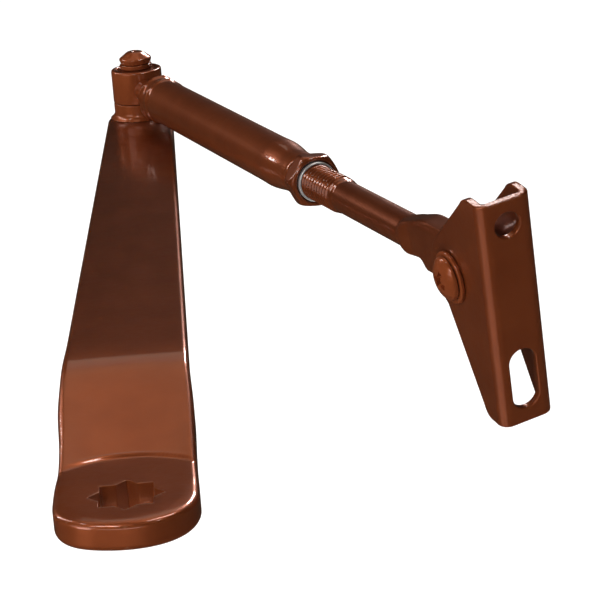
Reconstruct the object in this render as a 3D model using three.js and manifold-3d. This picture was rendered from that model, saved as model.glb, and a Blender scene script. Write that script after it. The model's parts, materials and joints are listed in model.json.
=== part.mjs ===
// Double lever arm of a surface door closer: main arm, elbow, adjustable forearm and frame shoe.
// Millimetres, +Z up. The origin is on the spindle axis, on the underside of the main arm's pad.
// +X runs from the spindle to the elbow.
import * as THREE from 'three';
import { mergeVertices } from 'three/addons/utils/BufferGeometryUtils.js';
import Module from 'manifold-3d';

const wasm = await Module();
wasm.setup();

// ---- driving dimensions ----
const GAP = 0.3;                    // clearance between neighbouring pieces
const ROUND = 40;                   // segments of a full circle

const barThickness = 6.1;           // main arm, flat bar
const padRadius = 14.25;            // round end on the closer's spindle
const padFront = 14.4;              // the pad's front reaches a little further than the circle
const starTipRadius = 7.5;          // two square holes at 45 degrees make eight tips
const firstBendX = 20.2;            // where the pad ends and the slope starts
const secondBendX = 47.5;           // where the slope ends and the long part starts
const rise = 12.1;                  // height of the long part above the pad
const elbowX = 272;                 // spindle axis to elbow axis
const armEndX = 270;                // centre of the round elbow end
const armEndRadius = 9.75;

const journalRadius = 3.9;          // elbow stud
const tenonRadius = 4.5;
const studCollarRadius = 7.5;
const studCollarHeight = 4.2;
const knuckleRadius = 7.53;
const knuckleHeight = 9.85;
const bushRadius = 5.6;
const topWasher = { outer: 4.75, inner: 4.25, height: 1.05 };
const studHeadRadius = 4.8;
const studHeadHeight = 3.6;

const forearmAngle = -159.6;        // degrees about +Z, forearm folded back over the main arm
const forearmAxisZ = 27.07;
const tubeRadius = 6.35;            // half-inch tube
const tubeBore = 5.1;
const stub = { radius: 3.4, end: 9.5 };     // distances along the forearm start at the elbow axis
const coneEnd = 20.5;               // forged end widens from the stub to the tube
const tubeFloor = 27;
const neckStart = 114;              // tube swaged down behind the hex bush
const neckEnd = 122;
const neckRadius = 5.55;
const tubeEnd = 128.5;
const hexFlats = 12.7;              // half an inch across flats
const hexTurn = -6;                 // degrees about the forearm
const hexEnd = 135.2;

const threadRadius = 4.5;           // 3/8 inch, 16 threads per inch, over the crests
const rodRadius = 4.06;
const rodStart = 86;
const threadEnd = 152;
const bladeStart = 194;
const bladeHalfWidth = 6.5;
const bladeHalfThickness = 3.0;
const bladeEndRadius = 7.2;
const pivotDistance = 223.4;        // elbow axis to shoe pivot
const rodTwist = 8.7;               // degrees, rod turned in its thread

const sheet = 2.0;                  // shoe, bent steel sheet
const shoeHalfWidth = 6.5;
const webFace = 16.6;               // pivot axis to outer face of the web
const shoeTop = 23.4;
const shoeBottom = -31.6;
const shoeTilt = 9.5;               // degrees about the pivot
const lobeRadius = 9.6;             // flange around the pivot
const screwHole = { z: 17.6, radius: 3.0 };
const screwSlot = { z: -20.6, length: 14.9, width: 6.5 };
const nearEdge = { lobeExit: 245, bottomX: 8.0 };   // lower edge of the flange under the screw head
const farEdge = { lobeExit: 277, bottomX: 11.9 };   // the other flange is cut shallower
const pivotRadius = 2.5;            // pivot screw shank
const pivotBush = { radius: 3.6, halfLength: 4.2 };
const pivotWasher = { outer: 6.3, inner: 3.9, thickness: 0.9 };
const headWasher = { radius: 6.1, thickness: 0.8 };
const screwHead = { radius: 5.2, height: 2.2 };
const nut = { flats: 8, height: 3.0 };
const stopRing = { length: 2.5, groove: 3.1, grooveRadius: 3.2 };
const lockRing = { wall: 0.35, from: hexEnd - 0.9, to: hexEnd + 0.4 };

// ---- geometry helpers ----
const radians = THREE.MathUtils.degToRad;
const point = (x, y) => new THREE.Vector2(x, y);

// Solid from a closed three.js geometry: shared vertices merged, flat triangles dropped, faces out.
function solid(geometry) {
  const bare = geometry.index ? geometry.toNonIndexed() : geometry.clone();
  bare.deleteAttribute('normal');
  bare.deleteAttribute('uv');
  const merged = mergeVertices(bare, 1e-4);
  const corners = merged.attributes.position.array;
  const triangles = [];
  let volume = 0;
  const a = new THREE.Vector3();
  const b = new THREE.Vector3();
  const c = new THREE.Vector3();
  for (let i = 0; i < merged.index.count; i += 3) {
    const [p, q, r] = [0, 1, 2].map((k) => merged.index.array[i + k]);
    if (p === q || q === r || r === p) continue;
    triangles.push([p, q, r]);
    a.fromArray(corners, 3 * p);
    b.fromArray(corners, 3 * q);
    c.fromArray(corners, 3 * r);
    volume += a.dot(b.cross(c));
  }
  if (volume < 0) triangles.forEach((t) => t.reverse());
  return new wasm.Manifold(new wasm.Mesh({
    numProp: 3,
    vertProperties: new Float32Array(corners),
    triVerts: new Uint32Array(triangles.flat()),
  }));
}

function geometryOf(manifold) {
  const mesh = manifold.getMesh();
  const geometry = new THREE.BufferGeometry();
  geometry.setAttribute('position', new THREE.BufferAttribute(mesh.vertProperties, 3));
  geometry.setIndex(new THREE.BufferAttribute(mesh.triVerts, 1));
  geometry.computeVertexNormals();
  return geometry;
}

// Solid of revolution about +Z from [radius, z] pairs; the outline closes on itself.
function turned(outline, segments = ROUND) {
  const points = outline.map(([r, z]) => point(r, z));
  points.push(points[0].clone());
  return solid(new THREE.LatheGeometry(points, segments).rotateX(Math.PI / 2));
}

// The same, laid along +X.
function turnedAlongX(outline, segments = ROUND) {
  const points = outline.map(([r, x]) => point(r, x));
  points.push(points[0].clone());
  return solid(new THREE.LatheGeometry(points, segments).rotateZ(-Math.PI / 2));
}

// The same, laid along +Y.
function turnedAlongY(outline, segments = ROUND) {
  const points = outline.map(([r, y]) => point(r, y));
  points.push(points[0].clone());
  return solid(new THREE.LatheGeometry(points, segments));
}

// A ring or pin outline between two positions on the axis.
const ring = (outer, inner, from, to) => [[inner, from], [outer, from], [outer, to], [inner, to]];

function extruded(shape, depth, curveSegments = 16) {
  const options = { depth, bevelEnabled: false, curveSegments };
  return new THREE.ExtrudeGeometry(shape, options);
}

// Extrusion of an x-z outline, from y = from to y = to.
function extrudedAlongY(shape, from, to) {
  return solid(extruded(shape, to - from).rotateX(Math.PI / 2).translate(0, to, 0));
}

function regularShape(radius, sides, firstAngle) {
  const corners = Array.from({ length: sides }, (_, i) => {
    const angle = radians(firstAngle) + (2 * Math.PI * i) / sides;
    return point(radius * Math.cos(angle), radius * Math.sin(angle));
  });
  return new THREE.Shape(corners);
}

// ---- materials ----
const paint = (color) => new THREE.MeshStandardMaterial({ color, roughness: 0.35, metalness: 0.2 });
const bronzePaint = () => paint(0x6e3620);
const metal = (color, roughness) => new THREE.MeshStandardMaterial({ color, roughness, metalness: 1 });
const bareSteel = () => metal(0xb9b6b0, 0.35);
const sinteredBronze = () => metal(0x9c7a48, 0.5);
const nylon = () => new THREE.MeshStandardMaterial({ color: 0xe6e2d6, roughness: 0.6, metalness: 0 });

function node(name, manifold, material) {
  const mesh = new THREE.Mesh(geometryOf(manifold), material);
  mesh.name = name;
  return mesh;
}

// ---- main arm ----
function mainArm() {
  const slopeRun = secondBendX - firstBendX;
  const shift = barThickness * Math.tan(Math.atan2(rise, slopeRun) / 2);
  const far = armEndX + armEndRadius + 1;
  const near = -padFront - 1;
  const side = new THREE.Shape([
    point(near, 0),
    point(firstBendX + shift, 0),
    point(secondBendX + shift, rise),
    point(far, rise),
    point(far, rise + barThickness),
    point(secondBendX, rise + barThickness),
    point(firstBendX, barThickness),
    point(near, barThickness),
  ]);
  const lean = Math.asin((padRadius - armEndRadius) / armEndX);
  const padEdge = Array.from({ length: ROUND + 1 }, (_, i) => {
    const angle = Math.PI / 2 - lean + ((Math.PI + 2 * lean) * i) / ROUND;
    const reach = Math.cos(angle) < 0 ? padFront : padRadius;
    return point(reach * Math.cos(angle), padRadius * Math.sin(angle));
  });
  const plan = new THREE.Shape(padEdge);
  plan.absarc(armEndX, 0, armEndRadius, -Math.PI / 2 + lean, Math.PI / 2 - lean, false);
  const bar = extrudedAlongY(side, -padRadius - 1, padRadius + 1);
  const outline = solid(extruded(plan, 40).translate(0, 0, -5));
  const squares = [0, 45].map((angle) => {
    const shape = regularShape(starTipRadius, 4, angle);
    return solid(extruded(shape, barThickness + 2).translate(0, 0, -1));
  });
  const studHole = turned(ring(tenonRadius + GAP, 0, rise - 1, rise + barThickness + 1));
  return bar.intersect(outline)
    .subtract(squares[0].add(squares[1]))
    .subtract(studHole.translate([elbowX, 0, 0]));
}

// ---- elbow, on its own axis, z measured as on the arm ----
const armTop = rise + barThickness;
const collarTop = armTop + GAP + studCollarHeight;
const knuckleBottom = collarTop + GAP;
const knuckleTop = knuckleBottom + knuckleHeight;
const washerBottom = knuckleTop + GAP;
const headBottom = washerBottom + topWasher.height + GAP;
const headTop = headBottom + studHeadHeight;

function elbowStud() {
  const swagedRadius = 6.4;
  const swagedHeight = 1.4;
  const flatRadius = 1.9;
  return turned([
    [0, rise - GAP - swagedHeight],
    [swagedRadius - 0.8, rise - GAP - swagedHeight],
    [swagedRadius, rise - GAP - 0.6],
    [swagedRadius, rise - GAP],
    [tenonRadius, rise - GAP],
    [tenonRadius, armTop + GAP],
    [studCollarRadius, armTop + GAP],
    [studCollarRadius, collarTop],
    [journalRadius, collarTop],
    [journalRadius, headBottom],
    [studHeadRadius - 0.3, headBottom],
    [studHeadRadius, headBottom + 1.2],
    [flatRadius, headTop],
    [0, headTop],
  ]);
}

// ---- forearm, along its own +X from the elbow axis ----
function forearmTube() {
  const neckBore = threadRadius + GAP;
  const outline = [
    [0, 2],
    [stub.radius, 2],
    [stub.radius, stub.end],
    [tubeRadius, coneEnd],
    [tubeRadius, neckStart],
    [neckRadius, neckEnd],
    [neckRadius, tubeEnd],
    [neckBore, tubeEnd],
    [neckBore, neckEnd],
    [tubeBore, neckStart + 3],
    [tubeBore, tubeFloor],
    [0, tubeFloor],
  ];
  const reach = knuckleRadius + GAP;
  const cope = turned(ring(reach, 0, -tubeRadius - 1, tubeRadius + 1));
  return turnedAlongX(outline).subtract(cope);
}

function hexBush() {
  const crest = hexFlats / Math.sqrt(3);
  const bore = threadRadius + GAP;
  const seat = bore + 0.65;
  const turnedBody = turnedAlongX([
    [bore, tubeEnd + GAP],
    [neckRadius, tubeEnd + GAP],
    [crest - 0.1, tubeEnd + 2.9],
    [crest - 0.1, hexEnd - 1],
    [hexFlats / 2 - 0.4, hexEnd],
    [seat, hexEnd],
    [seat, hexEnd - 1.3],
    [bore, hexEnd - 1.3],
  ], 48);
  const prism = solid(extruded(regularShape(crest, 6, hexTurn), hexEnd - tubeEnd + 2)
    .rotateZ(Math.PI / 2).rotateY(Math.PI / 2).translate(tubeEnd, 0, 0));
  return turnedBody.intersect(prism);
}

// ---- rod, along its own +X; +Y is the shoe pivot axis ----
const grooveStart = rodStart + 2.5;
const grooveEnd = grooveStart + stopRing.groove;

function adjustingRod() {
  const shaft = turnedAlongX([
    [0, rodStart],
    [threadRadius - 0.8, rodStart],
    [threadRadius, rodStart + 0.8],
    [threadRadius, grooveStart],
    [stopRing.grooveRadius, grooveStart],
    [stopRing.grooveRadius, grooveEnd],
    [threadRadius, grooveEnd],
    [threadRadius, threadEnd - 1],
    [rodRadius, threadEnd + 0.5],
    [rodRadius, bladeStart + 6],
    [bladeHalfThickness * 0.8, bladeStart + 14],
    [0, bladeStart + 14],
  ]);
  const shoulder = bladeStart + 8;
  const outline = new THREE.Shape();
  outline.moveTo(bladeStart, -rodRadius * 0.75);
  outline.lineTo(shoulder, -bladeHalfWidth);
  outline.lineTo(pivotDistance - 3, -bladeHalfWidth);
  outline.absarc(pivotDistance, 0, bladeEndRadius, radians(-65), radians(65), false);
  outline.lineTo(pivotDistance - 3, bladeHalfWidth);
  outline.lineTo(shoulder, bladeHalfWidth);
  outline.lineTo(bladeStart, rodRadius * 0.75);
  const blade = extrudedAlongY(outline, -bladeHalfThickness, bladeHalfThickness);
  const eye = turnedAlongY(ring(pivotBush.radius + GAP, 0, -5, 5)).translate([pivotDistance, 0, 0]);
  return shaft.add(blade).subtract(eye);
}

// ---- shoe, pivot axis at its origin along +Y, web facing +X, +Z along the web ----
const innerHalfWidth = shoeHalfWidth - sheet;

// Side view of one flange with the web; the lower edge leaves the lobe at lobeExit and reaches
// the bottom corner at bottomX.
function flangeOutline({ lobeExit, bottomX }) {
  const shape = new THREE.Shape();
  const outside = webFace + 1;
  const earX = 11.3;
  shape.moveTo(outside, shoeBottom);
  shape.lineTo(outside, shoeTop);
  shape.lineTo(earX, shoeTop);
  shape.quadraticCurveTo(earX - 2, shoeTop, earX - 3.5, shoeTop - 1.8);
  shape.absarc(0, 0, lobeRadius, radians(133), radians(lobeExit), false);
  shape.lineTo(bottomX, shoeBottom + 2.6);
  shape.quadraticCurveTo(bottomX + 0.9, shoeBottom, bottomX + 3.2, shoeBottom);
  return shape;
}

function shoe() {
  const backX = -lobeRadius - 1;
  const bend = sheet + 0.7;
  const section = new THREE.Shape();
  section.moveTo(backX, -shoeHalfWidth);
  section.absarc(webFace - bend, -shoeHalfWidth + bend, bend, -Math.PI / 2, 0, false);
  section.absarc(webFace - bend, shoeHalfWidth - bend, bend, 0, Math.PI / 2, false);
  section.lineTo(backX, shoeHalfWidth);
  section.lineTo(backX, innerHalfWidth);
  section.absarc(webFace - bend, shoeHalfWidth - bend, bend - sheet, Math.PI / 2, 0, true);
  section.absarc(webFace - bend, -shoeHalfWidth + bend, bend - sheet, 0, -Math.PI / 2, true);
  section.lineTo(backX, -innerHalfWidth);
  const channel = solid(extruded(section, shoeTop - shoeBottom + 4, 6).translate(0, 0, shoeBottom - 2));
  const nearSide = extrudedAlongY(flangeOutline(nearEdge), -shoeHalfWidth - 1, 1);
  const farSide = extrudedAlongY(flangeOutline(farEdge), -1, shoeHalfWidth + 1);
  const cutDepth = sheet + 4;
  const round = turnedAlongX(ring(screwHole.radius, 0, webFace - cutDepth, webFace + 2))
    .translate([0, 0, screwHole.z]);
  const slotShape = new THREE.Shape();
  const slotRadius = screwSlot.width / 2;
  const slotReach = screwSlot.length / 2 - slotRadius;
  slotShape.absarc(slotReach, 0, slotRadius, -Math.PI / 2, Math.PI / 2, false);
  slotShape.absarc(-slotReach, 0, slotRadius, Math.PI / 2, 1.5 * Math.PI, false);
  const slot = solid(extruded(slotShape, cutDepth + 2).rotateY(Math.PI / 2)
    .translate(webFace - cutDepth, 0, screwSlot.z));
  const pivotHole = turnedAlongY(ring(pivotRadius + 0.4, 0, -shoeHalfWidth - 2, shoeHalfWidth + 2));
  return channel.intersect(nearSide.add(farSide)).subtract(round).subtract(slot).subtract(pivotHole);
}

// Pivot screw with a low domed head on the -Y side and a cross recess.
const headWasherFace = -shoeHalfWidth - GAP - headWasher.thickness;
const screwHeadFace = headWasherFace - GAP;
const nutFace = shoeHalfWidth + GAP;
const nutEnd = nutFace + nut.height;

function pivotScrew() {
  const crown = screwHeadFace - screwHead.height;
  const body = turnedAlongY([
    [0, crown],
    [2.4, crown + 0.25],
    [4.2, crown + 0.95],
    [screwHead.radius, screwHeadFace - 0.5],
    [screwHead.radius, screwHeadFace],
    [pivotRadius, screwHeadFace],
    [pivotRadius, nutEnd],
    [0, nutEnd],
  ]);
  const wing = new THREE.BoxGeometry(4.4, 1.6, 1.0).translate(0, crown + 0.5, 0);
  const otherWing = wing.clone().rotateY(Math.PI / 2);
  return body.subtract(solid(wing).add(solid(otherWing)));
}

function pivotNut() {
  const shape = regularShape(nut.flats / Math.sqrt(3), 6, 30);
  const blank = extrudedAlongY(shape, nutFace, nutEnd);
  return blank.subtract(turnedAlongY(ring(pivotRadius + GAP, 0, nutFace - 1, nutEnd + 1)));
}

// ---- assembly ----
const group = new THREE.Group();
group.name = 'closer_arm';
group.add(node('main_arm', mainArm(), bronzePaint()));

const elbow = new THREE.Group();
elbow.position.set(elbowX, 0, 0);
const washerTop = washerBottom + topWasher.height;
const washerRing = ring(topWasher.outer, topWasher.inner, washerBottom, washerTop);
elbow.add(node('elbow_stud', elbowStud(), bronzePaint()));
elbow.add(node('elbow_washer', turned(washerRing), bronzePaint()));
group.add(elbow);

const forearm = new THREE.Group();
forearm.position.set(elbowX, 0, forearmAxisZ);
forearm.rotation.z = radians(forearmAngle);
const low = knuckleBottom - forearmAxisZ;
const high = knuckleTop - forearmAxisZ;
forearm.add(node('elbow_knuckle', turned(ring(knuckleRadius, bushRadius + GAP, low, high)), bronzePaint()));
forearm.add(node('elbow_bush', turned(ring(bushRadius, journalRadius + GAP, low, high)), sinteredBronze()));
forearm.add(node('forearm_tube', forearmTube(), bronzePaint()));
forearm.add(node('hex_bush', hexBush(), bronzePaint()));
const lockBore = threadRadius + GAP;
const lockSection = ring(lockBore + lockRing.wall, lockBore, lockRing.from, lockRing.to);
forearm.add(node('lock_ring', turnedAlongX(lockSection), bareSteel()));
group.add(forearm);

const rod = new THREE.Group();
rod.rotation.x = radians(rodTwist);
const stopFrom = grooveStart + GAP;
const stopBore = stopRing.grooveRadius + GAP;
const stopSection = ring(tubeBore - GAP, stopBore, stopFrom, stopFrom + stopRing.length);
rod.add(node('rod_stop_ring', turnedAlongX(stopSection), nylon()));
rod.add(node('adjusting_rod', adjustingRod(), bronzePaint()));
forearm.add(rod);

const foot = new THREE.Group();
foot.position.set(pivotDistance, 0, 0);
foot.rotation.y = radians(shoeTilt);
foot.add(node('shoe', shoe(), bronzePaint()));
const pivotBore = pivotRadius + GAP;
const bushSection = ring(pivotBush.radius, pivotBore, -pivotBush.halfLength, pivotBush.halfLength);
foot.add(node('pivot_bush', turnedAlongY(bushSection), sinteredBronze()));
const washerOuterFace = pivotBush.halfLength;
const washerInnerFace = washerOuterFace - pivotWasher.thickness;
const spacer = (from, to) => turnedAlongY(ring(pivotWasher.outer, pivotWasher.inner, from, to));
foot.add(node('pivot_washer_near', spacer(-washerOuterFace, -washerInnerFace), nylon()));
foot.add(node('pivot_washer_far', spacer(washerInnerFace, washerOuterFace), nylon()));
const headWasherBack = headWasherFace + headWasher.thickness;
const headSection = ring(headWasher.radius, pivotBore, headWasherFace, headWasherBack);
foot.add(node('head_washer', turnedAlongY(headSection), bronzePaint()));
foot.add(node('pivot_screw', pivotScrew(), bronzePaint()));
foot.add(node('pivot_nut', pivotNut(), bareSteel()));
rod.add(foot);

export default group;
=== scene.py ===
import json
import math

import bmesh
import bpy
import numpy as np
from mathutils import Matrix, Vector


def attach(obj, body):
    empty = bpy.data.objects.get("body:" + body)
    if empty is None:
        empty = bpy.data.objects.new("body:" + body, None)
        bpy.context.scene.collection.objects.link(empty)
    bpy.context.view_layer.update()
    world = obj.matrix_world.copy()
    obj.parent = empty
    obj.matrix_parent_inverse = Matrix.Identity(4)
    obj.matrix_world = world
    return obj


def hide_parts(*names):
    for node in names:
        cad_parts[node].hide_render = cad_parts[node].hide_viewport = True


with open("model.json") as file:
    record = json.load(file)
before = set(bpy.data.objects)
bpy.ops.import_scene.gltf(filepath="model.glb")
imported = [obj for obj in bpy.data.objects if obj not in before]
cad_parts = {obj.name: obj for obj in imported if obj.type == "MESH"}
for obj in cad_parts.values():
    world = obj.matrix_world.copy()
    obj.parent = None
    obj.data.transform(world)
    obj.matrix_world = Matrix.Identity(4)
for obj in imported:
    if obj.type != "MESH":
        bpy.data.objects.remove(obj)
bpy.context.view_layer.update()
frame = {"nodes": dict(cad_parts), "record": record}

MM = 0.001

# ---- sizes in millimetres, as in the CAD ----
BAR = 6.1                    # main arm thickness
PAD_RADIUS = 14.25
STAR_TIP = 7.5
STUD_HOLE = 4.8
RISE = 12.1
BEND_1, BEND_2 = 20.2, 47.5  # x of the two bends on the top face
ELBOW_X = 272.0
ARM_END_X, ARM_END_RADIUS = 270.0, 9.75
KNUCKLE_RADIUS = 7.53
TUBE_RADIUS, TUBE_BORE, TUBE_END = 6.35, 5.1, 128.5
STUB_RADIUS = 3.4            # forged end of the forearm between knuckle and tube
HEX_FLATS, HEX_START, HEX_END = 12.7, 128.8, 135.2
HEX_TURN = -5.0              # degrees about the forearm
NECK_RADIUS = 5.55
THREAD_RADIUS, THREAD_MINOR, THREAD_PITCH = 4.5, 3.9, 1.5875
ROD_RADIUS, ROD_START, THREAD_END = 4.06, 86.0, 152.0
GROOVE_START, GROOVE_END, GROOVE_RADIUS = 2.5, 5.6, 3.2     # from the rod's inner end
BLADE_START, BLADE_FLAT = 189.5, 190.0
EYE_RADIUS, EYE_HOLE = 7.3, 3.9
PIVOT = 223.4                # elbow axis to shoe pivot
SHEET = 2.0
SHOE_HALF, WEB_FACE = 6.5, 16.6
SHOE_TOP, SHOE_BOTTOM = 23.4, -31.6
LOBE = 9.6                   # flange radius round the pivot
SCREW_HOLE_Z, SCREW_HOLE_RADIUS = 17.6, 3.0
SLOT_Z, SLOT_LENGTH, SLOT_RADIUS = -20.6, 14.9, 3.25
PIVOT_HOLE = 2.9
NEAR_EDGE = (245, 8.0)       # where a flange leaves its lobe, in degrees, and x at its lower end
FAR_EDGE = (277, 11.9)
NUT_FLATS, NUT_HEIGHT, NUT_BORE = 8, 3.0, 2.7

# ---- frames of the bodies at rest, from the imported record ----
joints = {j["name"]: j for j in frame["record"]["behaviour"]["joints"]}
mounts = {m["name"]: m for m in frame["record"]["mounts"]}


def axes_frame(x_axis, y_axis, origin):
    """Matrix from a body's own millimetres to the scene's metres."""
    x = Vector(x_axis).normalized()
    y = Vector(y_axis).normalized()
    z = x.cross(y).normalized()
    turn = Matrix((x, y, z)).transposed().to_4x4()
    return Matrix.Translation(Vector(origin)) @ turn @ Matrix.Scale(MM, 4)


elbow_pos = Vector(joints["elbow_swing"]["pos_m"])
pivot_pos = Vector(joints["shoe_tilt"]["pos_m"])
along = Vector(joints["rod_turn"]["axis"])
pin = Vector(joints["shoe_tilt"]["axis"])
ARM = Matrix.Scale(MM, 4)
ELBOW = Matrix.Translation((elbow_pos[0], elbow_pos[1], 0)) @ Matrix.Scale(MM, 4)
FOREARM = axes_frame(along, Vector((0, 0, 1)).cross(along), elbow_pos)
ROD = axes_frame(along, pin, elbow_pos)
SHOE = axes_frame(mounts["shoe_web"]["axis"], pin, pivot_pos)


# ---- mesh helpers ----
def new_object(name, verts, faces, matrix=None, smooth=True):
    mesh = bpy.data.meshes.new(name)
    mesh.from_pydata([tuple(v) for v in verts], [], faces)
    if matrix is not None:
        mesh.transform(matrix)
    obj = bpy.data.objects.new(name, mesh)
    bpy.context.scene.collection.objects.link(obj)
    tidy_mesh(obj, smooth)
    return obj


def tidy_mesh(obj, smooth=True):
    bm = bmesh.new()
    bm.from_mesh(obj.data)
    bmesh.ops.remove_doubles(bm, verts=bm.verts, dist=1e-7)
    bmesh.ops.recalc_face_normals(bm, faces=bm.faces)
    for face in bm.faces:
        face.smooth = smooth
    bm.to_mesh(obj.data)
    bm.free()


def apply_modifiers(obj):
    graph = bpy.context.evaluated_depsgraph_get()
    mesh = bpy.data.meshes.new_from_object(obj.evaluated_get(graph))
    obj.modifiers.clear()
    obj.data = mesh
    return obj


def cut(obj, cutter):
    """Takes the cutter out of the object and removes it."""
    modifier = obj.modifiers.new("cut", "BOOLEAN")
    modifier.object = cutter
    modifier.operation = "DIFFERENCE"
    modifier.solver = "EXACT"
    bpy.context.view_layer.update()
    apply_modifiers(obj)
    bpy.data.objects.remove(cutter)
    return obj


def bevel(obj, width, segments=3, angle=35):
    modifier = obj.modifiers.new("edges", "BEVEL")
    modifier.width = width
    modifier.segments = segments
    modifier.limit_method = "ANGLE"
    modifier.angle_limit = math.radians(angle)
    modifier.harden_normals = False
    modifier.use_clamp_overlap = True
    bpy.context.view_layer.update()
    return apply_modifiers(obj)


def smooth_shading(obj, angle=35):
    for polygon in obj.data.polygons:
        polygon.use_smooth = True
    bm = bmesh.new()
    bm.from_mesh(obj.data)
    limit = math.radians(angle)
    for edge in bm.edges:
        if len(edge.link_faces) == 2:
            edge.smooth = edge.calc_face_angle(0) < limit
    bm.to_mesh(obj.data)
    bm.free()
    return obj


def weighted_normals(obj):
    modifier = obj.modifiers.new("normals", "WEIGHTED_NORMAL")
    modifier.keep_sharp = True
    modifier.weight = 80
    return obj


def arc(cx, cy, radius, start, end, steps):
    """Points on an arc, angles in degrees."""
    angles = np.radians(np.linspace(start, end, steps + 1))
    return [(cx + radius * math.cos(a), cy + radius * math.sin(a)) for a in angles]


def circle(cx, cy, radius, count=48):
    """Outline of a circle, its points evenly spaced."""
    return arc(cx, cy, radius, 0, 360 - 360 / count, count - 1)


def around(place, radius, angle):
    """Point at a place along the X axis, a radius off it."""
    return (place, radius * math.cos(angle), radius * math.sin(angle))


def prism(name, outline, low, high):
    """Upright prism of an x-y outline between two heights."""
    count = len(outline)
    verts = [(x, y, low) for x, y in outline] + [(x, y, high) for x, y in outline]
    faces = [list(range(count))[::-1], list(range(count, 2 * count))]
    for i in range(count):
        j = (i + 1) % count
        faces.append([i, j, count + j, count + i])
    return new_object(name, verts, faces, smooth=False)


def cut_across(obj, normal, places):
    """Adds edges where planes cross the mesh, so that it can bend."""
    bm = bmesh.new()
    bm.from_mesh(obj.data)
    for place in places:
        geom = bm.verts[:] + bm.edges[:] + bm.faces[:]
        bmesh.ops.bisect_plane(bm, geom=geom, plane_co=Vector(normal) * place, plane_no=normal)
    bm.to_mesh(obj.data)
    bm.free()


def triangulate_ngons(obj):
    """Splits the faces with more than four corners."""
    bm = bmesh.new()
    bm.from_mesh(obj.data)
    bmesh.ops.triangulate(bm, faces=[f for f in bm.faces if len(f.verts) > 4])
    bm.to_mesh(obj.data)
    bm.free()


def grid_solid(name, points, matrix, ring_closed=False, smooth=True):
    """Closed body from a grid of sections: points[i][j] runs round section i.

    With ring_closed the last section joins the first, as on a hollow body;
    without it the first and last sections are closed with a face each.
    """
    rows, cols = len(points), len(points[0])
    verts = [p for row in points for p in row]
    faces = []
    for i in range(rows if ring_closed else rows - 1):
        k = (i + 1) % rows
        for j in range(cols):
            m = (j + 1) % cols
            faces.append([i * cols + j, i * cols + m, k * cols + m, k * cols + j])
    if not ring_closed:
        faces.append(list(range(cols))[::-1])
        faces.append([(rows - 1) * cols + j for j in range(cols)])
    return new_object(name, verts, faces, matrix, smooth)


def fillet_profile(corners, steps=5):
    """Rounds the corners of a profile: each corner is (radius, position, rounding)."""
    points = []
    count = len(corners)
    for i, (r, z, rounding) in enumerate(corners):
        here = Vector((r, z))
        if rounding <= 0:
            points.append(here)
            continue
        before = Vector(corners[i - 1][:2])
        after = Vector(corners[(i + 1) % count][:2])
        d1 = before - here
        d2 = after - here
        reach = min(rounding, 0.49 * d1.length, 0.49 * d2.length)
        a = here + d1.normalized() * reach
        b = here + d2.normalized() * reach
        for k in range(steps + 1):
            t = k / steps
            points.append(a * (1 - t) ** 2 + here * 2 * t * (1 - t) + b * t ** 2)
    return points


def turned(name, corners, matrix, axis="Z", segments=96, steps=5, wobble=None):
    """Body of revolution from (radius, position, rounding) corners; the profile closes on itself."""
    profile = fillet_profile(corners, steps)
    rows = []
    for p in profile:
        row = []
        for j in range(segments):
            a = 2 * math.pi * j / segments
            r = max(p[0], 0.0)
            if wobble:
                r += wobble(r, p[1], a)
            u, v = r * math.cos(a), r * math.sin(a)
            row.append({"Z": (u, v, p[1]), "X": (p[1], u, v), "Y": (v, p[1], u)}[axis])
        rows.append(row)
    return grid_solid(name, rows, matrix, ring_closed=True)


def soft_min(a, b, width):
    """Smaller of two values with a rounded change-over."""
    h = np.clip(0.5 + 0.5 * (b - a) / width, 0, 1)
    return b * (1 - h) + a * h - width * h * (1 - h)


def ramp(t, width):
    """Zero before 0 and t after it, rounded over about width."""
    return 0.5 * (t + np.sqrt(t * t + width * width))


def step(t):
    """Smooth change from 0 to 1 as t goes from 0 to 1."""
    t = np.clip(t, 0, 1)
    return t * t * (3 - 2 * t)


# ---- materials ----
def principled(name):
    material = bpy.data.materials.new(name)
    material.use_nodes = True
    tree = material.node_tree
    shader = tree.nodes["Principled BSDF"]
    return material, tree, shader


def noise(tree, coordinates, scale, detail=3.0, roughness=0.5):
    node = tree.nodes.new("ShaderNodeTexNoise")
    node.inputs["Scale"].default_value = scale
    node.inputs["Detail"].default_value = detail
    node.inputs["Roughness"].default_value = roughness
    tree.links.new(coordinates, node.inputs["Vector"])
    return node.outputs["Fac"]


def remap(tree, value, low, high, out_low, out_high):
    node = tree.nodes.new("ShaderNodeMapRange")
    node.inputs["From Min"].default_value = low
    node.inputs["From Max"].default_value = high
    node.inputs["To Min"].default_value = out_low
    node.inputs["To Max"].default_value = out_high
    tree.links.new(value, node.inputs["Value"])
    return node.outputs["Result"]


def mix_colours(tree, factor, first, second):
    node = tree.nodes.new("ShaderNodeMix")
    node.data_type = "RGBA"
    for socket, value in ((6, first), (7, second)):
        if isinstance(value, tuple):
            node.inputs[socket].default_value = (*value, 1)
        else:
            tree.links.new(value, node.inputs[socket])
    tree.links.new(factor, node.inputs[0])
    return node.outputs[2]


def bump(tree, height, strength, distance, below=None):
    node = tree.nodes.new("ShaderNodeBump")
    node.inputs["Strength"].default_value = strength
    node.inputs["Distance"].default_value = distance
    tree.links.new(height, node.inputs["Height"])
    if below is not None:
        tree.links.new(below, node.inputs["Normal"])
    return node.outputs["Normal"]


def object_coordinates(tree):
    return tree.nodes.new("ShaderNodeTexCoord").outputs["Object"]


PAINT = (0.250, 0.058, 0.017)
PAINT_DARK = (0.220, 0.049, 0.014)
PAINT_CONVEX_EDGE = (0.34, 0.14, 0.08)


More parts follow.
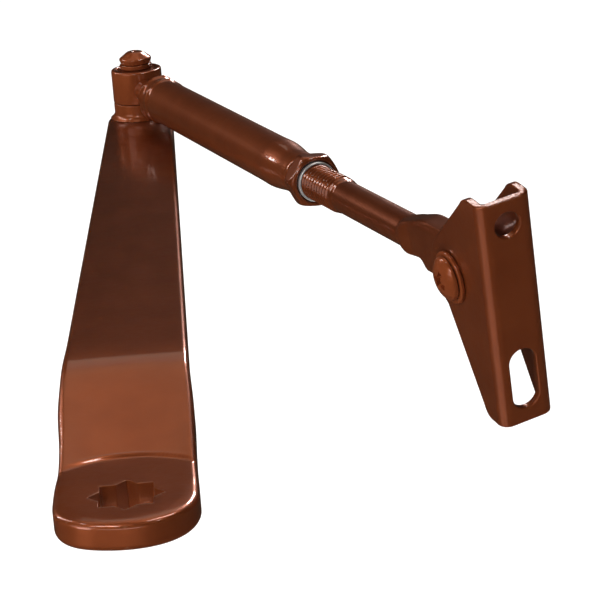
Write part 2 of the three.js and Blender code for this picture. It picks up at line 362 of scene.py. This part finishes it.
def paint_material(name, grain=1.0):
    """Semi-gloss bronze-brown paint: orange peel, faint blotches, a lighter colour on sharp convex edges.
    """
    material, tree, shader = principled(name)
    where = object_coordinates(tree)
    blotch = noise(tree, where, 90, 2)
    colour = mix_colours(tree, remap(tree, blotch, 0.35, 0.7, 0, 1), PAINT_DARK, PAINT)
    # Lighter colour on sharp convex edges, where Pointiness is high.
    geometry = tree.nodes.new("ShaderNodeNewGeometry")
    edge = remap(tree, geometry.outputs["Pointiness"], 0.54, 0.62, 0, 0.3)
    colour = mix_colours(tree, edge, colour, PAINT_CONVEX_EDGE)
    tree.links.new(colour, shader.inputs["Base Color"])
    gloss = noise(tree, where, 200, 2)
    tree.links.new(remap(tree, gloss, 0.3, 0.7, 0.285, 0.335), shader.inputs["Roughness"])
    shader.inputs["Metallic"].default_value = 0.5
    shader.inputs["Specular IOR Level"].default_value = 0.1
    shader.inputs["Coat Weight"].default_value = 0.75
    shader.inputs["Coat Roughness"].default_value = 0.05
    broad = bump(tree, noise(tree, where, 450, 1), 0.08, 0.0004)
    fine = bump(tree, noise(tree, where, 1500, 2), 0.13 * grain, 0.00012, broad)
    tree.links.new(fine, shader.inputs["Normal"])
    tree.links.new(fine, shader.inputs["Coat Normal"])
    return material


def metal_material(name, colour, dull, roughness, shine=1.0):
    """Bare metal with fine turning marks and patches of tarnish."""
    material, tree, shader = principled(name)
    where = object_coordinates(tree)
    patches = remap(tree, noise(tree, where, 350, 5), 0.4, 0.65, 0, 1)
    tree.links.new(mix_colours(tree, patches, colour, dull), shader.inputs["Base Color"])
    shader.inputs["Metallic"].default_value = shine
    marks = noise(tree, where, 1500, 3)
    gloss = remap(tree, marks, 0.3, 0.7, roughness, roughness + 0.2)
    tree.links.new(gloss, shader.inputs["Roughness"])
    tree.links.new(bump(tree, noise(tree, where, 3500, 2), 0.25, 0.0001), shader.inputs["Normal"])
    return material


def painted_over(material, low, high):
    """Paints the parts of a bare piece that lie outside two heights, in metres."""
    tree = material.node_tree
    shader = tree.nodes["Principled BSDF"]
    place = tree.nodes.new("ShaderNodeSeparateXYZ")
    tree.links.new(object_coordinates(tree), place.inputs["Vector"])
    middle = (low + high) / 2
    distance = tree.nodes.new("ShaderNodeMath")
    distance.operation = "SUBTRACT"
    distance.inputs[1].default_value = middle
    tree.links.new(place.outputs["Z"], distance.inputs[0])
    size = tree.nodes.new("ShaderNodeMath")
    size.operation = "ABSOLUTE"
    tree.links.new(distance.outputs["Value"], size.inputs[0])
    reach = high - middle
    covered = remap(tree, size.outputs["Value"], reach - 0.0004, reach - 0.0001, 0, 1)
    bare = shader.inputs["Base Color"].links[0].from_socket
    tree.links.new(mix_colours(tree, covered, bare, PAINT), shader.inputs["Base Color"])
    tree.links.new(remap(tree, covered, 0, 1, 1.0, 0.5), shader.inputs["Metallic"])


def nylon_material(name):
    material, tree, shader = principled(name)
    where = object_coordinates(tree)
    tint = remap(tree, noise(tree, where, 250, 3), 0.3, 0.7, 0, 1)
    colour = mix_colours(tree, tint, (0.74, 0.70, 0.60), (0.80, 0.77, 0.69))
    tree.links.new(colour, shader.inputs["Base Color"])
    shader.inputs["Roughness"].default_value = 0.5
    tree.links.new(bump(tree, noise(tree, where, 1800, 2), 0.15, 0.0001), shader.inputs["Normal"])
    return material


paint = paint_material("bronze_paint")
paint_grainy = paint_material("bronze_paint_on_cut_metal", grain=4.0)
steel = metal_material("bare_steel", (0.90, 0.89, 0.88), (0.62, 0.61, 0.60), 0.28, 0.6)
bush_bronze = metal_material("bush_bronze", (0.50, 0.34, 0.16), (0.32, 0.21, 0.10), 0.4)
inner_bronze = metal_material("inner_bronze", (0.50, 0.34, 0.16), (0.32, 0.21, 0.10), 0.4)
nylon = nylon_material("nylon")


def finish_piece(obj, body, node, material, second=None):
    faces = [face.material_index for face in obj.data.polygons]
    obj.data.materials.clear()
    obj.data.materials.append(material)
    if second:
        obj.data.materials.append(second)
        obj.data.polygons.foreach_set("material_index", faces)
    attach(obj, body)
    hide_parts(node)


# ---- main arm ----
def arm_outline():
    lean = math.degrees(math.asin((PAD_RADIUS - ARM_END_RADIUS) / ARM_END_X))
    outline = []
    for x, y in arc(0, 0, PAD_RADIUS, 90 - lean, 270 + lean, 96):
        if x < 0:
            turn = math.atan2(abs(y), -x)
            fullness = 0.10 * math.sin(turn) if y > 0 else 0.03
            square = 1 + fullness * math.sin(2 * turn) ** 2
            x *= square
            y = max(-PAD_RADIUS, min(PAD_RADIUS + 0.45, y * square))
        outline.append((x, y))
    outline += arc(ARM_END_X, 0, ARM_END_RADIUS, -90 + lean, 90 - lean, 48)
    return outline


def rounded(points, radius, steps=3):
    """Closed outline with every corner rounded off over about radius."""
    result = []
    for i, corner in enumerate(points):
        here = Vector(corner)
        start = here + (Vector(points[i - 1]) - here).normalized() * radius
        end = here + (Vector(points[(i + 1) % len(points)]) - here).normalized() * radius
        for k in range(steps + 1):
            t = k / steps
            result.append(tuple(start * (1 - t) ** 2 + here * 2 * t * (1 - t) + end * t ** 2))
    return result


def star_outline(tip):
    """Outline of two equal squares turned 45 degrees: eight tips and eight notches."""
    half = tip / math.sqrt(2)
    notch = half / math.cos(math.radians(22.5))
    points = []
    for k in range(8):
        a = math.radians(45 * k)
        b = math.radians(45 * k + 22.5)
        points.append((tip * math.cos(a), tip * math.sin(a)))
        points.append((notch * math.cos(b), notch * math.sin(b)))
    return points


def mark_cut_faces(obj, reach):
    """Gives the upright faces of a flat blank, out to a distance, the second material."""
    for face in obj.data.polygons:
        if abs(face.normal.z) < 0.5 and face.center.xy.length < reach:
            face.material_index = 1


def soften_rim(obj, reach, width):
    """Rounds the edges of the flat faces near the origin, as at the rim of a hole."""
    bm = bmesh.new()
    bm.from_mesh(obj.data)
    near = [e for e in bm.edges if all(v.co.xy.length < reach for v in e.verts)
            and abs(e.verts[0].co.z - e.verts[1].co.z) < 1e-4]
    bmesh.ops.bevel(bm, geom=near, offset=width, segments=2, affect="EDGES", profile=0.5)
    bm.to_mesh(obj.data)
    bm.free()


COIN_STEP = 0.30             # the pad's disc is coined this much below the start of the slope


def bend_arm(x, y, z):
    """Moves a point of the flat bar onto the bent one."""
    f = z / BAR
    slope = (RISE - COIN_STEP) / (BEND_2 - BEND_1)
    shift = BAR * math.tan(math.atan(slope) / 2) * (1 - f)
    coin = np.sqrt(np.maximum(BEND_1 ** 2 - y * y, 0.0))
    first = BEND_1 + shift + f * (coin - BEND_1)
    second = BEND_2 + shift
    lift = slope * (BEND_2 - BEND_1) / (second - first)
    height = lift * (ramp(x - first, 0.7) - ramp(x - second, 5.5))
    out = np.hypot(x, y)
    height = height - 0.22 * step((out - 11.4) / 2.9) * step((7 - x) / 6) * f ** 4
    outside = out - BEND_1
    inner = step((12.6 - np.abs(y)) / 3)
    height = height + COIN_STEP * step((outside + 0.5) / 1.0) * f ** 4
    height = height + 0.20 * np.exp(-((outside - 0.3) / 0.40) ** 2) * f ** 4 * inner
    height = height + COIN_STEP * step((x - first) / 6) * (1 - f ** 4)
    swell = np.where(y > 0, 0.75, 0.45)
    bulge = swell * np.exp(-((x - 33) / 8.5) ** 2) * np.sin(math.pi * np.clip(f, 0, 1)) ** 0.7
    bulge = bulge + np.where(y > 0, 0.45, 0.0) * np.exp(-((x - 44) / 12.0) ** 2)
    bulge = bulge + np.where(y > 0, 0.3, 0.0) * np.exp(-((x - 8) / 9.0) ** 2)
    bulge = bulge + 0.35 * np.exp(-(x / 14.0) ** 2) * np.sin(math.pi * np.clip(f, 0, 1))
    side = step((np.abs(y) - 9.0) / 4.5)
    return x, y + np.sign(y) * bulge * side, z + height


def make_main_arm():
    bar = prism("main_arm_forged", arm_outline(), 0, BAR)
    bevel(bar, 1.3, 7, 60)
    cut(bar, prism("star_cut", rounded(star_outline(STAR_TIP + 0.1), 0.28), -1, BAR + 1))
    soften_rim(bar, STAR_TIP + 0.5, 0.11)
    mark_cut_faces(bar, STAR_TIP + 0.2)
    cut(bar, prism("stud_cut", circle(ELBOW_X, 0, STUD_HOLE, 72), -1, BAR + 1))
    cuts = [np.arange(11, 25, 0.3),
            np.arange(25, 62, 1.0), np.arange(64, 262, 6.0), np.arange(-15, 11, 1.0)]
    cut_across(bar, (1, 0, 0), np.concatenate(cuts))
    cut_across(bar, (0, 1, 0), np.arange(-13.6, 13.7, 0.8))
    coords = np.array([v.co[:] for v in bar.data.vertices])
    x, y, z = bend_arm(coords[:, 0], coords[:, 1], coords[:, 2])
    for vertex, px, py, pz in zip(bar.data.vertices, x, y, z):
        vertex.co = (px, py, pz)
    triangulate_ngons(bar)
    bar.data.transform(ARM)
    tidy_mesh(bar)
    smooth_shading(bar, 38)
    weighted_normals(bar)
    finish_piece(bar, "main_lever", "main_arm", paint, paint_grainy)


# ---- elbow ----
ARM_TOP = RISE + BAR
COLLAR_TOP = ARM_TOP + 4.5
KNUCKLE_BOTTOM = COLLAR_TOP + 0.3
KNUCKLE_TOP = KNUCKLE_BOTTOM + 9.85
WASHER_TOP = KNUCKLE_TOP + 1.35
HEAD_BOTTOM = WASHER_TOP + 0.25
HEAD_TOP = HEAD_BOTTOM + 3.6


def make_elbow():
    corners = [
        (0, RISE - 1.7, 0), (5.6, RISE - 1.7, 0.4), (6.4, RISE - 0.9, 0.3), (6.4, RISE - 0.15, 0.1),
        (4.5, RISE - 0.15, 0), (4.5, ARM_TOP + 0.1, 0), (8.9, ARM_TOP + 0.1, 0.1),
        (7.5, ARM_TOP + 1.2, 1.2), (7.5, COLLAR_TOP + 0.2, 0.3), (3.9, COLLAR_TOP + 0.2, 0),
        (3.9, HEAD_BOTTOM, 0), (4.45, HEAD_BOTTOM, 0.4), (4.45, HEAD_BOTTOM + 0.35, 0.2),
        (4.9, HEAD_BOTTOM + 1.5, 0.45), (2.3, HEAD_TOP - 0.1, 0.8), (0.9, HEAD_TOP, 0.4),
        (0, HEAD_TOP - 0.5, 0),
    ]

    def peened(r, z, a):
        """Hammered, slightly uneven cone."""
        if z < HEAD_BOTTOM or r < 0.5:
            return 0.0
        dimple = 0.5 * math.exp(-((a - 2.75) / 0.3) ** 2 - ((z - HEAD_BOTTOM - 2.4) / 0.6) ** 2)
        return 0.08 * math.sin(3 * a + 0.6) + 0.05 * math.sin(7 * a + 2.0 * z) - dimple

    stud = turned("elbow_stud_peened", corners, ELBOW, wobble=peened)
    finish_piece(stud, "main_lever", "elbow_stud", paint)
    washer = turned("elbow_washer_ring", [
        (4.0, KNUCKLE_TOP + 0.15, 0), (4.8, KNUCKLE_TOP + 0.15, 0.25), (4.8, WASHER_TOP + 0.1, 0.3),
        (4.0, WASHER_TOP + 0.1, 0)], ELBOW)
    finish_piece(washer, "main_lever", "elbow_washer", paint)
    knuckle = turned("elbow_knuckle_eye", [
        (5.9, KNUCKLE_BOTTOM, 0), (KNUCKLE_RADIUS, KNUCKLE_BOTTOM, 0.5),
        (KNUCKLE_RADIUS, KNUCKLE_TOP, 0.7), (5.9, KNUCKLE_TOP, 0)], ELBOW)
    finish_piece(knuckle, "forearm", "elbow_knuckle", paint)


# ---- forearm ----
def weld_ripple(s, angle):
    """Height of the weld's two ripples on the tube's first few millimetres."""
    lumps = 1 + 0.35 * math.sin(5 * angle + 0.7) + 0.2 * math.sin(11 * angle)
    first = 0.55 * math.exp(-((s - 20.4) / 0.9) ** 2)
    second = 0.42 * math.exp(-((s - 25.2) / 0.9) ** 2)
    return (first + second) * lumps


def make_tube():
    sides = 96
    angles = np.linspace(0, 2 * math.pi, sides, endpoint=False)

    def ring_at(radius, place):
        return [around(place, radius, a) for a in angles]

    rows = [ring_at(0.3, 12)]
    first = []
    for a in angles:
        y = STUB_RADIUS * math.cos(a)
        first.append((math.sqrt((KNUCKLE_RADIUS + 0.05) ** 2 - y * y), y, STUB_RADIUS * math.sin(a)))
    rows.append(first)
    places = [np.arange(9, 30, 0.3), np.arange(34, 112, 6.0), np.arange(112, TUBE_END - 1, 0.6)]
    for s in np.concatenate(places):
        cone = STUB_RADIUS + (TUBE_RADIUS - STUB_RADIUS) * step((s - 9.5) / 11.0)
        swage = (TUBE_RADIUS - NECK_RADIUS) * step((s - 113.5) / 9.5)
        bulge = 0.10 * math.exp(-((s - 112.5) / 2.0) ** 2)
        crimp = 0.10 * math.exp(-((s - 126.2) / 0.35) ** 2)
        radius = cone - swage + bulge - crimp
        rows.append([around(s, radius + weld_ripple(s, a), a) for a in angles])
    for r, s in ((5.55, TUBE_END - 0.6), (5.4, TUBE_END - 0.15), (5.2, TUBE_END), (4.85, TUBE_END),
                 (4.85, 122), (TUBE_BORE, 117), (TUBE_BORE, 28), (0.3, 27)):
        rows.append(ring_at(r, s))
    tube = grid_solid("forearm_tube_welded", rows, FOREARM, ring_closed=False)
    smooth_shading(tube, 50)
    finish_piece(tube, "forearm", "forearm_tube", paint)


def make_hex():
    sides = 180
    flat = HEX_FLATS / 2
    crest = HEX_FLATS / math.sqrt(3)
    angles = np.linspace(0, 2 * math.pi, sides, endpoint=False)
    rows = []
    for s in np.linspace(HEX_START, HEX_END, 40):
        neck = NECK_RADIUS - 0.1 + 2.6 * step((s - HEX_START) / 3.2)
        nose = flat - 0.45 + 1.0 * math.sqrt(max(HEX_END - s, 0.0))
        row = []
        for a in angles:
            local = (a - math.radians(HEX_TURN) + math.pi / 6) % (math.pi / 3) - math.pi / 6
            hexagon = flat / math.cos(math.pi / 6 - abs(local))
            r = soft_min(hexagon, crest - 0.1, 0.35)
            r = soft_min(r, neck, 0.8)
            r = soft_min(r, nose, 0.35)
            row.append(around(s, r, a))
        rows.append(row)
    mouth = ((5.9, HEX_END + 0.08), (5.6, HEX_END + 0.05), (5.45, HEX_END - 0.2), (5.35, HEX_END - 0.6),
             (5.3, HEX_END - 1.3), (4.85, HEX_END - 1.3), (4.85, HEX_START))
    for r, s in mouth:
        rows.append([around(s, r, a) for a in angles])
    nut = grid_solid("hex_bush_forged", rows, FOREARM, ring_closed=True)
    smooth_shading(nut, 60)
    finish_piece(nut, "forearm", "hex_bush", paint)
    ring = turned("lock_ring_bright", [
        (4.62, HEX_END - 1.1, 0.1), (5.12, HEX_END - 1.1, 0.1), (5.12, HEX_END + 0.55, 0.3),
        (4.62, HEX_END + 0.75, 0.2)], FOREARM, axis="X")
    finish_piece(ring, "forearm", "lock_ring", steel)


# ---- rod ----
def thread_radius(s, a):
    """Radius of the threaded part at a place and an angle, fading out at both ends."""
    turns = s / THREAD_PITCH - a / (2 * math.pi)
    ridge = abs((turns % 1.0) - 0.5) * 2
    depth = step((s - ROD_START) / 2.0) * (1 - step((s - THREAD_END + 2.0) / 2.5))
    crest = THREAD_MINOR + (THREAD_RADIUS + 0.1 - THREAD_MINOR) * min(1.0, 1.25 * ridge)
    blank = THREAD_RADIUS - 0.15 + (ROD_RADIUS - THREAD_RADIUS + 0.15) * step((s - THREAD_END) / 1.5)
    return blank + (crest - blank) * depth


def thread_rows(angles):
    """Sections of the threaded end, with the stop ring's groove."""
    rows = []
    for r in (0.4, 3.4):
        rows.append([around(ROD_START, r, a) for a in angles])
    for s in np.arange(ROD_START + 0.3, THREAD_END + 2.0, THREAD_PITCH / 12):
        if ROD_START + GROOVE_START < s < ROD_START + GROOVE_END:
            rows.append([around(s, GROOVE_RADIUS, a) for a in angles])
        else:
            rows.append([around(s, thread_radius(s, a), a) for a in angles])
    return rows


def blade_row(s, angles):
    """Section of the plain rod as it flattens into the eye, wider above than below."""
    flat = step((s - BLADE_FLAT) / 6.0)
    thin = ROD_RADIUS + (3.0 - ROD_RADIUS) * flat
    wide_up = ROD_RADIUS + 2.75 * step((s - BLADE_START) / 15.0)
    wide_low = ROD_RADIUS + 2.0 * step((s - 199.0) / 2.2) - 0.3 * step((s - 192) / 6) * (s < 199)
    round_end = math.sqrt(max(EYE_RADIUS ** 2 - (s - PIVOT) ** 2, 0.0))
    if s > PIVOT:
        wide_up = wide_low = max(round_end, 0.05)
    elif s > PIVOT - 7.2:
        wide_up = max(wide_up, round_end)
        wide_low = max(wide_low, round_end)
    power = 2.0 + 8.0 * step((s - BLADE_START) / 6.0)
    row = []
    for a in angles:
        c, d = math.cos(a), math.sin(a)
        wide = wide_up if d > 0 else wide_low
        scale = (abs(c / thin) ** power + abs(d / wide) ** power) ** (-1 / power)
        row.append((s, scale * c, scale * d))
    return row


def make_rod():
    angles = np.linspace(0, 2 * math.pi, 72, endpoint=False)
    tip = np.sin(np.linspace(math.radians(-84), math.radians(89), 60))
    places = [np.linspace(THREAD_END + 2.2, 187, 12), np.arange(187.4, 216, 0.4), PIVOT + EYE_RADIUS * tip]
    rows = thread_rows(angles)
    for s in np.concatenate(places):
        rows.append(blade_row(s, angles))
    rod = grid_solid("adjusting_rod_forged", rows, Matrix.Identity(4))
    eye = prism("eye_cut", circle(0, 0, EYE_HOLE), -6, 6)
    eye.data.transform(Matrix.Translation((PIVOT, 0, 0)) @ Matrix.Rotation(math.pi / 2, 4, "X"))
    cut(rod, eye)
    rod.data.transform(ROD)
    tidy_mesh(rod)
    smooth_shading(rod, 45)
    finish_piece(rod, "rod", "adjusting_rod", paint)


# ---- shoe ----
BEND = SHEET + 0.7           # outer bend radius
NEUTRAL = BEND - SHEET / 2
WEB_FLAT = SHOE_HALF - BEND  # half width of the flat web
BEND_LENGTH = NEUTRAL * math.pi / 2


def flange_side(lobe_exit, bottom_x):
    """Free edge of one flange from top to bottom, as (x, z) with the pivot at the origin."""
    points = [(14.0, SHOE_TOP), (11.3, SHOE_TOP)]
    for t in np.linspace(0.15, 1, 7):
        a, b, c = (1 - t) ** 2, 2 * t * (1 - t), t * t
        points.append((a * 11.3 + b * 9.1 + c * 7.6, a * SHOE_TOP + b * SHOE_TOP + c * (SHOE_TOP - 2.1)))
    points += arc(0, 0, LOBE, 133, lobe_exit, 36)
    for t in np.linspace(0, 1, 8):
        a, b, c = (1 - t) ** 2, 2 * t * (1 - t), t * t
        x = a * bottom_x + b * (bottom_x + 0.9) + c * (bottom_x + 3.2)
        points.append((x, a * (SHOE_BOTTOM + 2.6) + (1 - a) * SHOE_BOTTOM))
    return points


def unfold(x):
    """Distance across the flat blank for a flange point at x."""
    return WEB_FLAT + BEND_LENGTH + (WEB_FACE - BEND) - x


def fold(u, w):
    """Across the blank and depth from its outer face to (x, y) of the folded channel."""
    side = 1.0 if u >= 0 else -1.0
    d = abs(u)
    centre = WEB_FACE - BEND
    if d <= WEB_FLAT:
        return WEB_FACE - w, u
    if d <= WEB_FLAT + BEND_LENGTH:
        a = (d - WEB_FLAT) / NEUTRAL
        return centre + (BEND - w) * math.cos(a), side * (WEB_FLAT + (BEND - w) * math.sin(a))
    return centre - (d - WEB_FLAT - BEND_LENGTH), side * (SHOE_HALF - w)


def shoe_holes():
    """Outlines of the round hole, the slot and the two pivot holes on the flat blank."""
    reach = SLOT_LENGTH / 2 - SLOT_RADIUS
    slot = arc(0, SLOT_Z + reach, SLOT_RADIUS, 0, 180, 24)
    slot += arc(0, SLOT_Z - reach, SLOT_RADIUS, 180, 360, 24)
    holes = [circle(0, SCREW_HOLE_Z, SCREW_HOLE_RADIUS), slot]
    for side in (-1, 1):
        holes.append(circle(side * unfold(0), 0, PIVOT_HOLE))
    return holes


def make_shoe():
    near = [(-unfold(x), z) for x, z in flange_side(*NEAR_EDGE)]
    far = [(unfold(x), z) for x, z in flange_side(*FAR_EDGE)]
    blank = prism("shoe_bent", near + far[::-1], 0, SHEET)
    for hole in shoe_holes():
        cut(blank, prism("hole_cut", hole, -1, SHEET + 1))
    bevel(blank, 0.38, 3, 40)
    mark_cut_faces(blank, 100)
    edge = WEB_FLAT + BEND_LENGTH
    cuts = np.concatenate([np.linspace(WEB_FLAT, edge, 13), -np.linspace(WEB_FLAT, edge, 13)])
    cut_across(blank, (1, 0, 0), cuts)
    for vertex in blank.data.vertices:
        u, z, w = vertex.co
        x, y = fold(u, w)
        vertex.co = (x, y, z)
    triangulate_ngons(blank)
    blank.data.transform(SHOE)
    tidy_mesh(blank)
    smooth_shading(blank, 38)
    weighted_normals(blank)
    finish_piece(blank, "shoe_assembly", "shoe", paint, paint_grainy)


# ---- pivot screw and nut ----
def make_pivot():
    face = -SHOE_HALF - 0.15
    washer = turned("head_washer_ring", [
        (2.8, face, 0), (6.1, face, 0.2), (6.1, face - 0.85, 0.35), (2.8, face - 0.85, 0)], SHOE, axis="Y")
    finish_piece(washer, "shoe_assembly", "head_washer", paint)
    base = face - 1.1
    screw = turned("pivot_screw_head", [
        (0, base - 2.25, 0), (1.6, base - 2.2, 0.8), (3.6, base - 1.75, 1.0), (5.0, base - 0.75, 0.8),
        (5.2, base, 0.15), (2.5, base, 0), (2.5, SHOE_HALF + 3.3, 0.4), (0, SHOE_HALF + 3.3, 0)],
        Matrix.Identity(4), axis="Y")
    for turn in (0, 90):
        cross = prism("recess_cut", [(-2.9, -0.6), (2.9, -0.6), (1.5, 0.7), (-1.5, 0.7)], -0.75, 0.75)
        spin = Matrix.Rotation(math.radians(turn + 20), 4, "Y")
        cross.data.transform(Matrix.Translation((0, base - 1.8, 0)) @ spin)
        cut(screw, cross)
    screw.data.transform(SHOE)
    tidy_mesh(screw)
    smooth_shading(screw, 40)
    finish_piece(screw, "shoe_assembly", "pivot_screw", paint)
    crest = NUT_FLATS / math.sqrt(3)
    nut = prism("pivot_nut_hex", arc(0, 0, crest, 30, 330, 5), 0, NUT_HEIGHT)
    bevel(nut, 0.3, 3, 40)
    cut(nut, prism("bore_cut", circle(0, 0, NUT_BORE), -1, NUT_HEIGHT + 1))
    turn = Matrix.Translation((0, SHOE_HALF + 0.15, 0)) @ Matrix.Rotation(-math.pi / 2, 4, "X")
    nut.data.transform(SHOE @ turn)
    tidy_mesh(nut)
    smooth_shading(nut, 35)
    finish_piece(nut, "shoe_assembly", "pivot_nut", steel)


painted_over(bush_bronze, KNUCKLE_BOTTOM * MM, KNUCKLE_TOP * MM)
make_main_arm()
make_elbow()
make_tube()
make_hex()
make_rod()
make_shoe()
make_pivot()

# Hidden CAD pieces keep their shape and get a finish.
kept_pieces = (
    ("elbow_bush", bush_bronze),
    ("pivot_bush", inner_bronze),
    ("rod_stop_ring", nylon),
    ("pivot_washer_near", nylon),
    ("pivot_washer_far", nylon),
)
for name, material in kept_pieces:
    node = frame["nodes"][name]
    node.data.materials.clear()
    node.data.materials.append(material)

# ---- floor, lights and camera ----
FLOOR_Z = -0.16


def make_floor():
    half = 6.0
    corners = ((-half, -half), (half, -half), (half, half), (-half, half))
    verts = [(x, y, FLOOR_Z) for x, y in corners]
    floor = new_object("floor", verts, [[0, 1, 2, 3]], smooth=False)
    material, tree, shader = principled("pale_floor")
    where = object_coordinates(tree)
    tint = remap(tree, noise(tree, where, 3, 2), 0.3, 0.7, 0, 1)
    colour = mix_colours(tree, tint, (0.93, 0.93, 0.93), (0.95, 0.95, 0.95))
    tree.links.new(colour, shader.inputs["Base Color"])
    shader.inputs["Roughness"].default_value = 0.9
    floor.data.materials.append(material)
    floor.visible_glossy = False
    return floor


def area_light(name, position, target, size, power, colour=(1, 1, 1)):
    light = bpy.data.lights.new(name, "AREA")
    light.shape = "RECTANGLE"
    light.size, light.size_y = size
    light.energy = power
    light.color = colour
    obj = bpy.data.objects.new(name, light)
    obj.location = position
    obj.rotation_euler = (Vector(target) - Vector(position)).to_track_quat("-Z", "Y").to_euler()
    bpy.context.scene.collection.objects.link(obj)
    return obj


def strip_light(name, start, end, width, power, target):
    """Long narrow area light between two points, facing the target."""
    start, end, target = Vector(start), Vector(end), Vector(target)
    middle = (start + end) / 2
    z = (middle - target).normalized()
    y = z.cross(end - start).normalized()
    x = y.cross(z)
    obj = area_light(name, middle, target, ((end - start).length, width), power)
    obj.rotation_euler = Matrix((x, y, z)).transposed().to_euler()
    return obj


def light_only(light, *receivers):
    """Keeps a light's illumination to the given objects."""
    group = bpy.data.collections.new(light.name + "_receivers")
    for receiver in receivers:
        group.objects.link(receiver)
    light.light_linking.receiver_collection = group


def highlight_only(light):
    """A card that shows only as a reflection and adds no general light."""
    light.visible_diffuse = False


def pieces(*names):
    return [bpy.data.objects[name] for name in names]


def general_lights(floor, middle):
    """Light for the floor, and the soft and small lights that fall on every piece."""
    backdrop = area_light("backdrop_soft", (0.7, 0.0, 1.6), (0.7, 0.0, 0.0), (3.0, 3.0), 75)
    light_only(backdrop, floor)
    area_light("overhead_soft", (0.45, 0.03, 0.86), middle, (0.52, 0.60), 0.97, (1.0, 0.62, 0.38))
    area_light("top_left_key", (0.10, 0.45, 0.85), middle, (0.07, 0.07), 0.4)
    area_light("front_right_key", (-0.37, -0.49, 0.69), (0.06, -0.08, 0.03), (0.07, 0.07), 0.4)
    area_light("back_soft", (0.95, -0.03, 0.75), middle, (0.4, 0.3), 0.25, (1.0, 0.8, 0.65))
    area_light("front_fill", (-0.55, 0.85, 0.22), middle, (0.7, 0.5), 1.7)
    area_light("pad_fill", (-0.16, 0.10, 0.22), (0.0, 0.0, 0.0), (0.12, 0.05), 0.25)


def linked_lights(middle):
    """Cards, strips and fills that fall on some pieces only, after the photo's reflections."""
    origin = (0.0, 0.0, 0.0)
    arm, tube, shoe = pieces("main_arm_forged", "forearm_tube_welded", "shoe_bent")
    elbow_pieces = pieces("elbow_stud_peened", "elbow_washer_ring", "elbow_knuckle_eye",
                          "head_washer_ring", "pivot_screw_head")
    rod_pieces = pieces("hex_bush_forged", "lock_ring_bright", "adjusting_rod_forged")
    low_left = area_light("low_left_card", (-0.40, 0.50, -0.05), (0.06, -0.04, 0.02), (0.25, 0.3), 1.2)
    light_only(low_left, arm)
    strips = (
        strip_light("right_strip_far", (0.74, -0.33, 0.60), (0.93, -0.31, 0.36), 0.12, 5.0, origin),
        strip_light("right_strip_near", (0.0, -0.19, 0.88), (0.27, -0.45, 0.73), 0.07, 2.4, origin),
        strip_light("left_strip", (0.38, 0.40, 0.65), (0.57, 0.59, 0.24), 0.05, 1.3, origin),
    )
    for strip in strips:
        highlight_only(strip)
        light_only(strip, arm, tube, *elbow_pieces, *rod_pieces)
    front_low = area_light("front_low_card", (-0.50, 0.06, -0.09), origin, (0.45, 0.12), 0.45)
    highlight_only(front_low)
    light_only(front_low, arm)
    shoe_top = area_light("shoe_top_card", (0.81, -0.08, 0.70), pivot_pos, (0.14, 0.14), 0.6)
    warm = (1.0, 0.75, 0.6)
    shoe_bend = area_light("shoe_bend_card", (-0.08, 0.08, -0.15), pivot_pos, (0.26, 0.26), 0.16, warm)
    for card in (shoe_top, shoe_bend):
        light_only(card, shoe)
        highlight_only(card)
    left_fill = area_light("left_fill", (0.10, 0.90, 0.45), middle, (0.9, 0.6), 5.2)
    elbow_fill = area_light("elbow_fill", (-0.20, 0.40, 0.10), middle, (0.3, 0.3), 2.0)
    light_only(left_fill, tube, *elbow_pieces)
    light_only(elbow_fill, *elbow_pieces)
    for fill in (left_fill, elbow_fill):
        fill.visible_glossy = False


def make_world():
    world = bpy.data.worlds.new("studio")
    world.use_nodes = True
    background = world.node_tree.nodes["Background"]
    background.inputs["Color"].default_value = (1.0, 0.82, 0.62, 1)
    background.inputs["Strength"].default_value = 0.024
    bpy.context.scene.world = world


CAMERA_POSITION = (-0.4380, -0.0252, 0.1834)
CAMERA_PITCH, CAMERA_YAW, CAMERA_ROLL = 17.774, -1.515, 4.237    # degrees: down, about +Z, about the view


def make_camera():
    data = bpy.data.cameras.new("camera")
    data.sensor_width = 36
    data.lens = 144.2
    data.clip_start = 0.01
    data.clip_end = 50
    camera = bpy.data.objects.new("camera", data)
    bpy.context.scene.collection.objects.link(camera)
    bpy.context.scene.camera = camera
    return camera


def aim_camera(camera):
    pitch, yaw, roll = (math.radians(v) for v in (CAMERA_PITCH, CAMERA_YAW, CAMERA_ROLL))
    forward = Vector((math.cos(pitch) * math.cos(yaw), math.cos(pitch) * math.sin(yaw), -math.sin(pitch)))
    level = Vector((math.sin(yaw), -math.cos(yaw), 0))
    down = forward.cross(level)
    right = math.cos(roll) * level + math.sin(roll) * down
    lower = -math.sin(roll) * level + math.cos(roll) * down
    turn = Matrix((right, -lower, -forward)).transposed().to_4x4()
    camera.matrix_world = Matrix.Translation(CAMERA_POSITION) @ turn


assembly_middle = (0.13, -0.03, 0.02)
general_lights(make_floor(), assembly_middle)
linked_lights(assembly_middle)
make_world()
aim_camera(make_camera())

view = bpy.context.scene.view_settings
view.view_transform = "Standard"
view.exposure = 0.0
